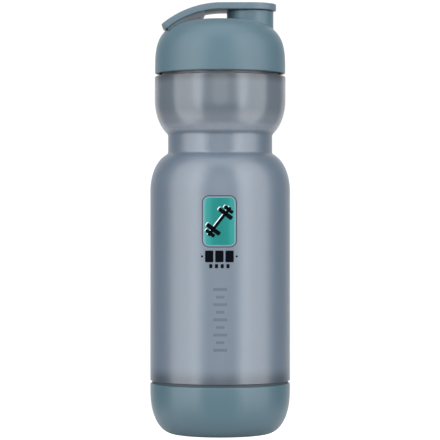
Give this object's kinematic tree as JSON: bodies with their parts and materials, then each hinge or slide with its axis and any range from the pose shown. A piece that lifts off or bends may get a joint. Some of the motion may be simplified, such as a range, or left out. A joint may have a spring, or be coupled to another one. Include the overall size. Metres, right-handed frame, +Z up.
{
  "type": "sports water bottle",
  "caption": "Squeeze bottle with a grip waist, a domed screw lid, a drinking spout closed by a hinged strap, and a screw-on storage cup under the body.",
  "frame": {"origin": "middle of the plane that the foot stands on", "axes": "+Z up along the bottle's axis, +X from the strap's hinge towards the spout, -Y out of the printed front"},
  "size_m": [0.074, 0.0742, 0.2273],
  "materials": {
    "frosted_body": "frosted, translucent",
    "badge_colour": "printed ink",
    "dark_ink": "printed ink",
    "grey_ink": "printed ink",
    "clear_silicone": "soft, satin",
    "lid_plastic": "fine matte",
    "pin_steel": "drawn wire",
    "strap_plastic": "fine matte",
    "dark_rubber": "soft, satin",
    "cup_plastic": "fine matte"
  },
  "bodies": {
    "bottle": {"bottle_body": "frosted_body", "badge_panel": "badge_colour", "badge_border": "dark_ink", "badge_symbol": "dark_ink", "badge_caption": "dark_ink", "side_scale": "grey_ink"},
    "lid_lift": {"lid_gasket": "clear_silicone"},
    "lid": {"lid_dome": "lid_plastic", "hinge_pin": "pin_steel"},
    "strap": {"flip_strap": "strap_plastic", "spout_plug": "clear_silicone", "vent_pad": "clear_silicone"},
    "cup_drop": {"cup_gasket": "dark_rubber"},
    "cup": {"storage_cup": "cup_plastic"}
  },
  "joints": [
    {"name": "lid_rise", "type": "slide", "parent": "bottle", "child": "lid_lift", "axis": [0, 0, 1], "range_m": [0, 0.0136]},
    {"name": "lid_turn", "type": "hinge", "parent": "lid_lift", "child": "lid", "pos_m": [0, 0, 0.2], "axis": [0, 0, 1], "range_deg": [0, 1080]},
    {"name": "strap_flip", "type": "hinge", "parent": "lid", "child": "strap", "pos_m": [-0.02847, 0, 0.21543], "axis": [0, -1, 0], "range_deg": [0, 140]},
    {"name": "cup_fall", "type": "slide", "parent": "bottle", "child": "cup_drop", "axis": [0, 0, -1], "range_m": [0, 0.0114]},
    {"name": "cup_turn", "type": "hinge", "parent": "cup_drop", "child": "cup", "pos_m": [0, 0, 0.02], "axis": [0, 0, -1], "range_deg": [0, 900]}
  ],
  "couplings": [
    {"joint": "lid_rise", "follows": "lid_turn", "m_per_rad": 0.0007162},
    {"joint": "cup_fall", "follows": "cup_turn", "m_per_rad": 0.0007162}
  ]
}
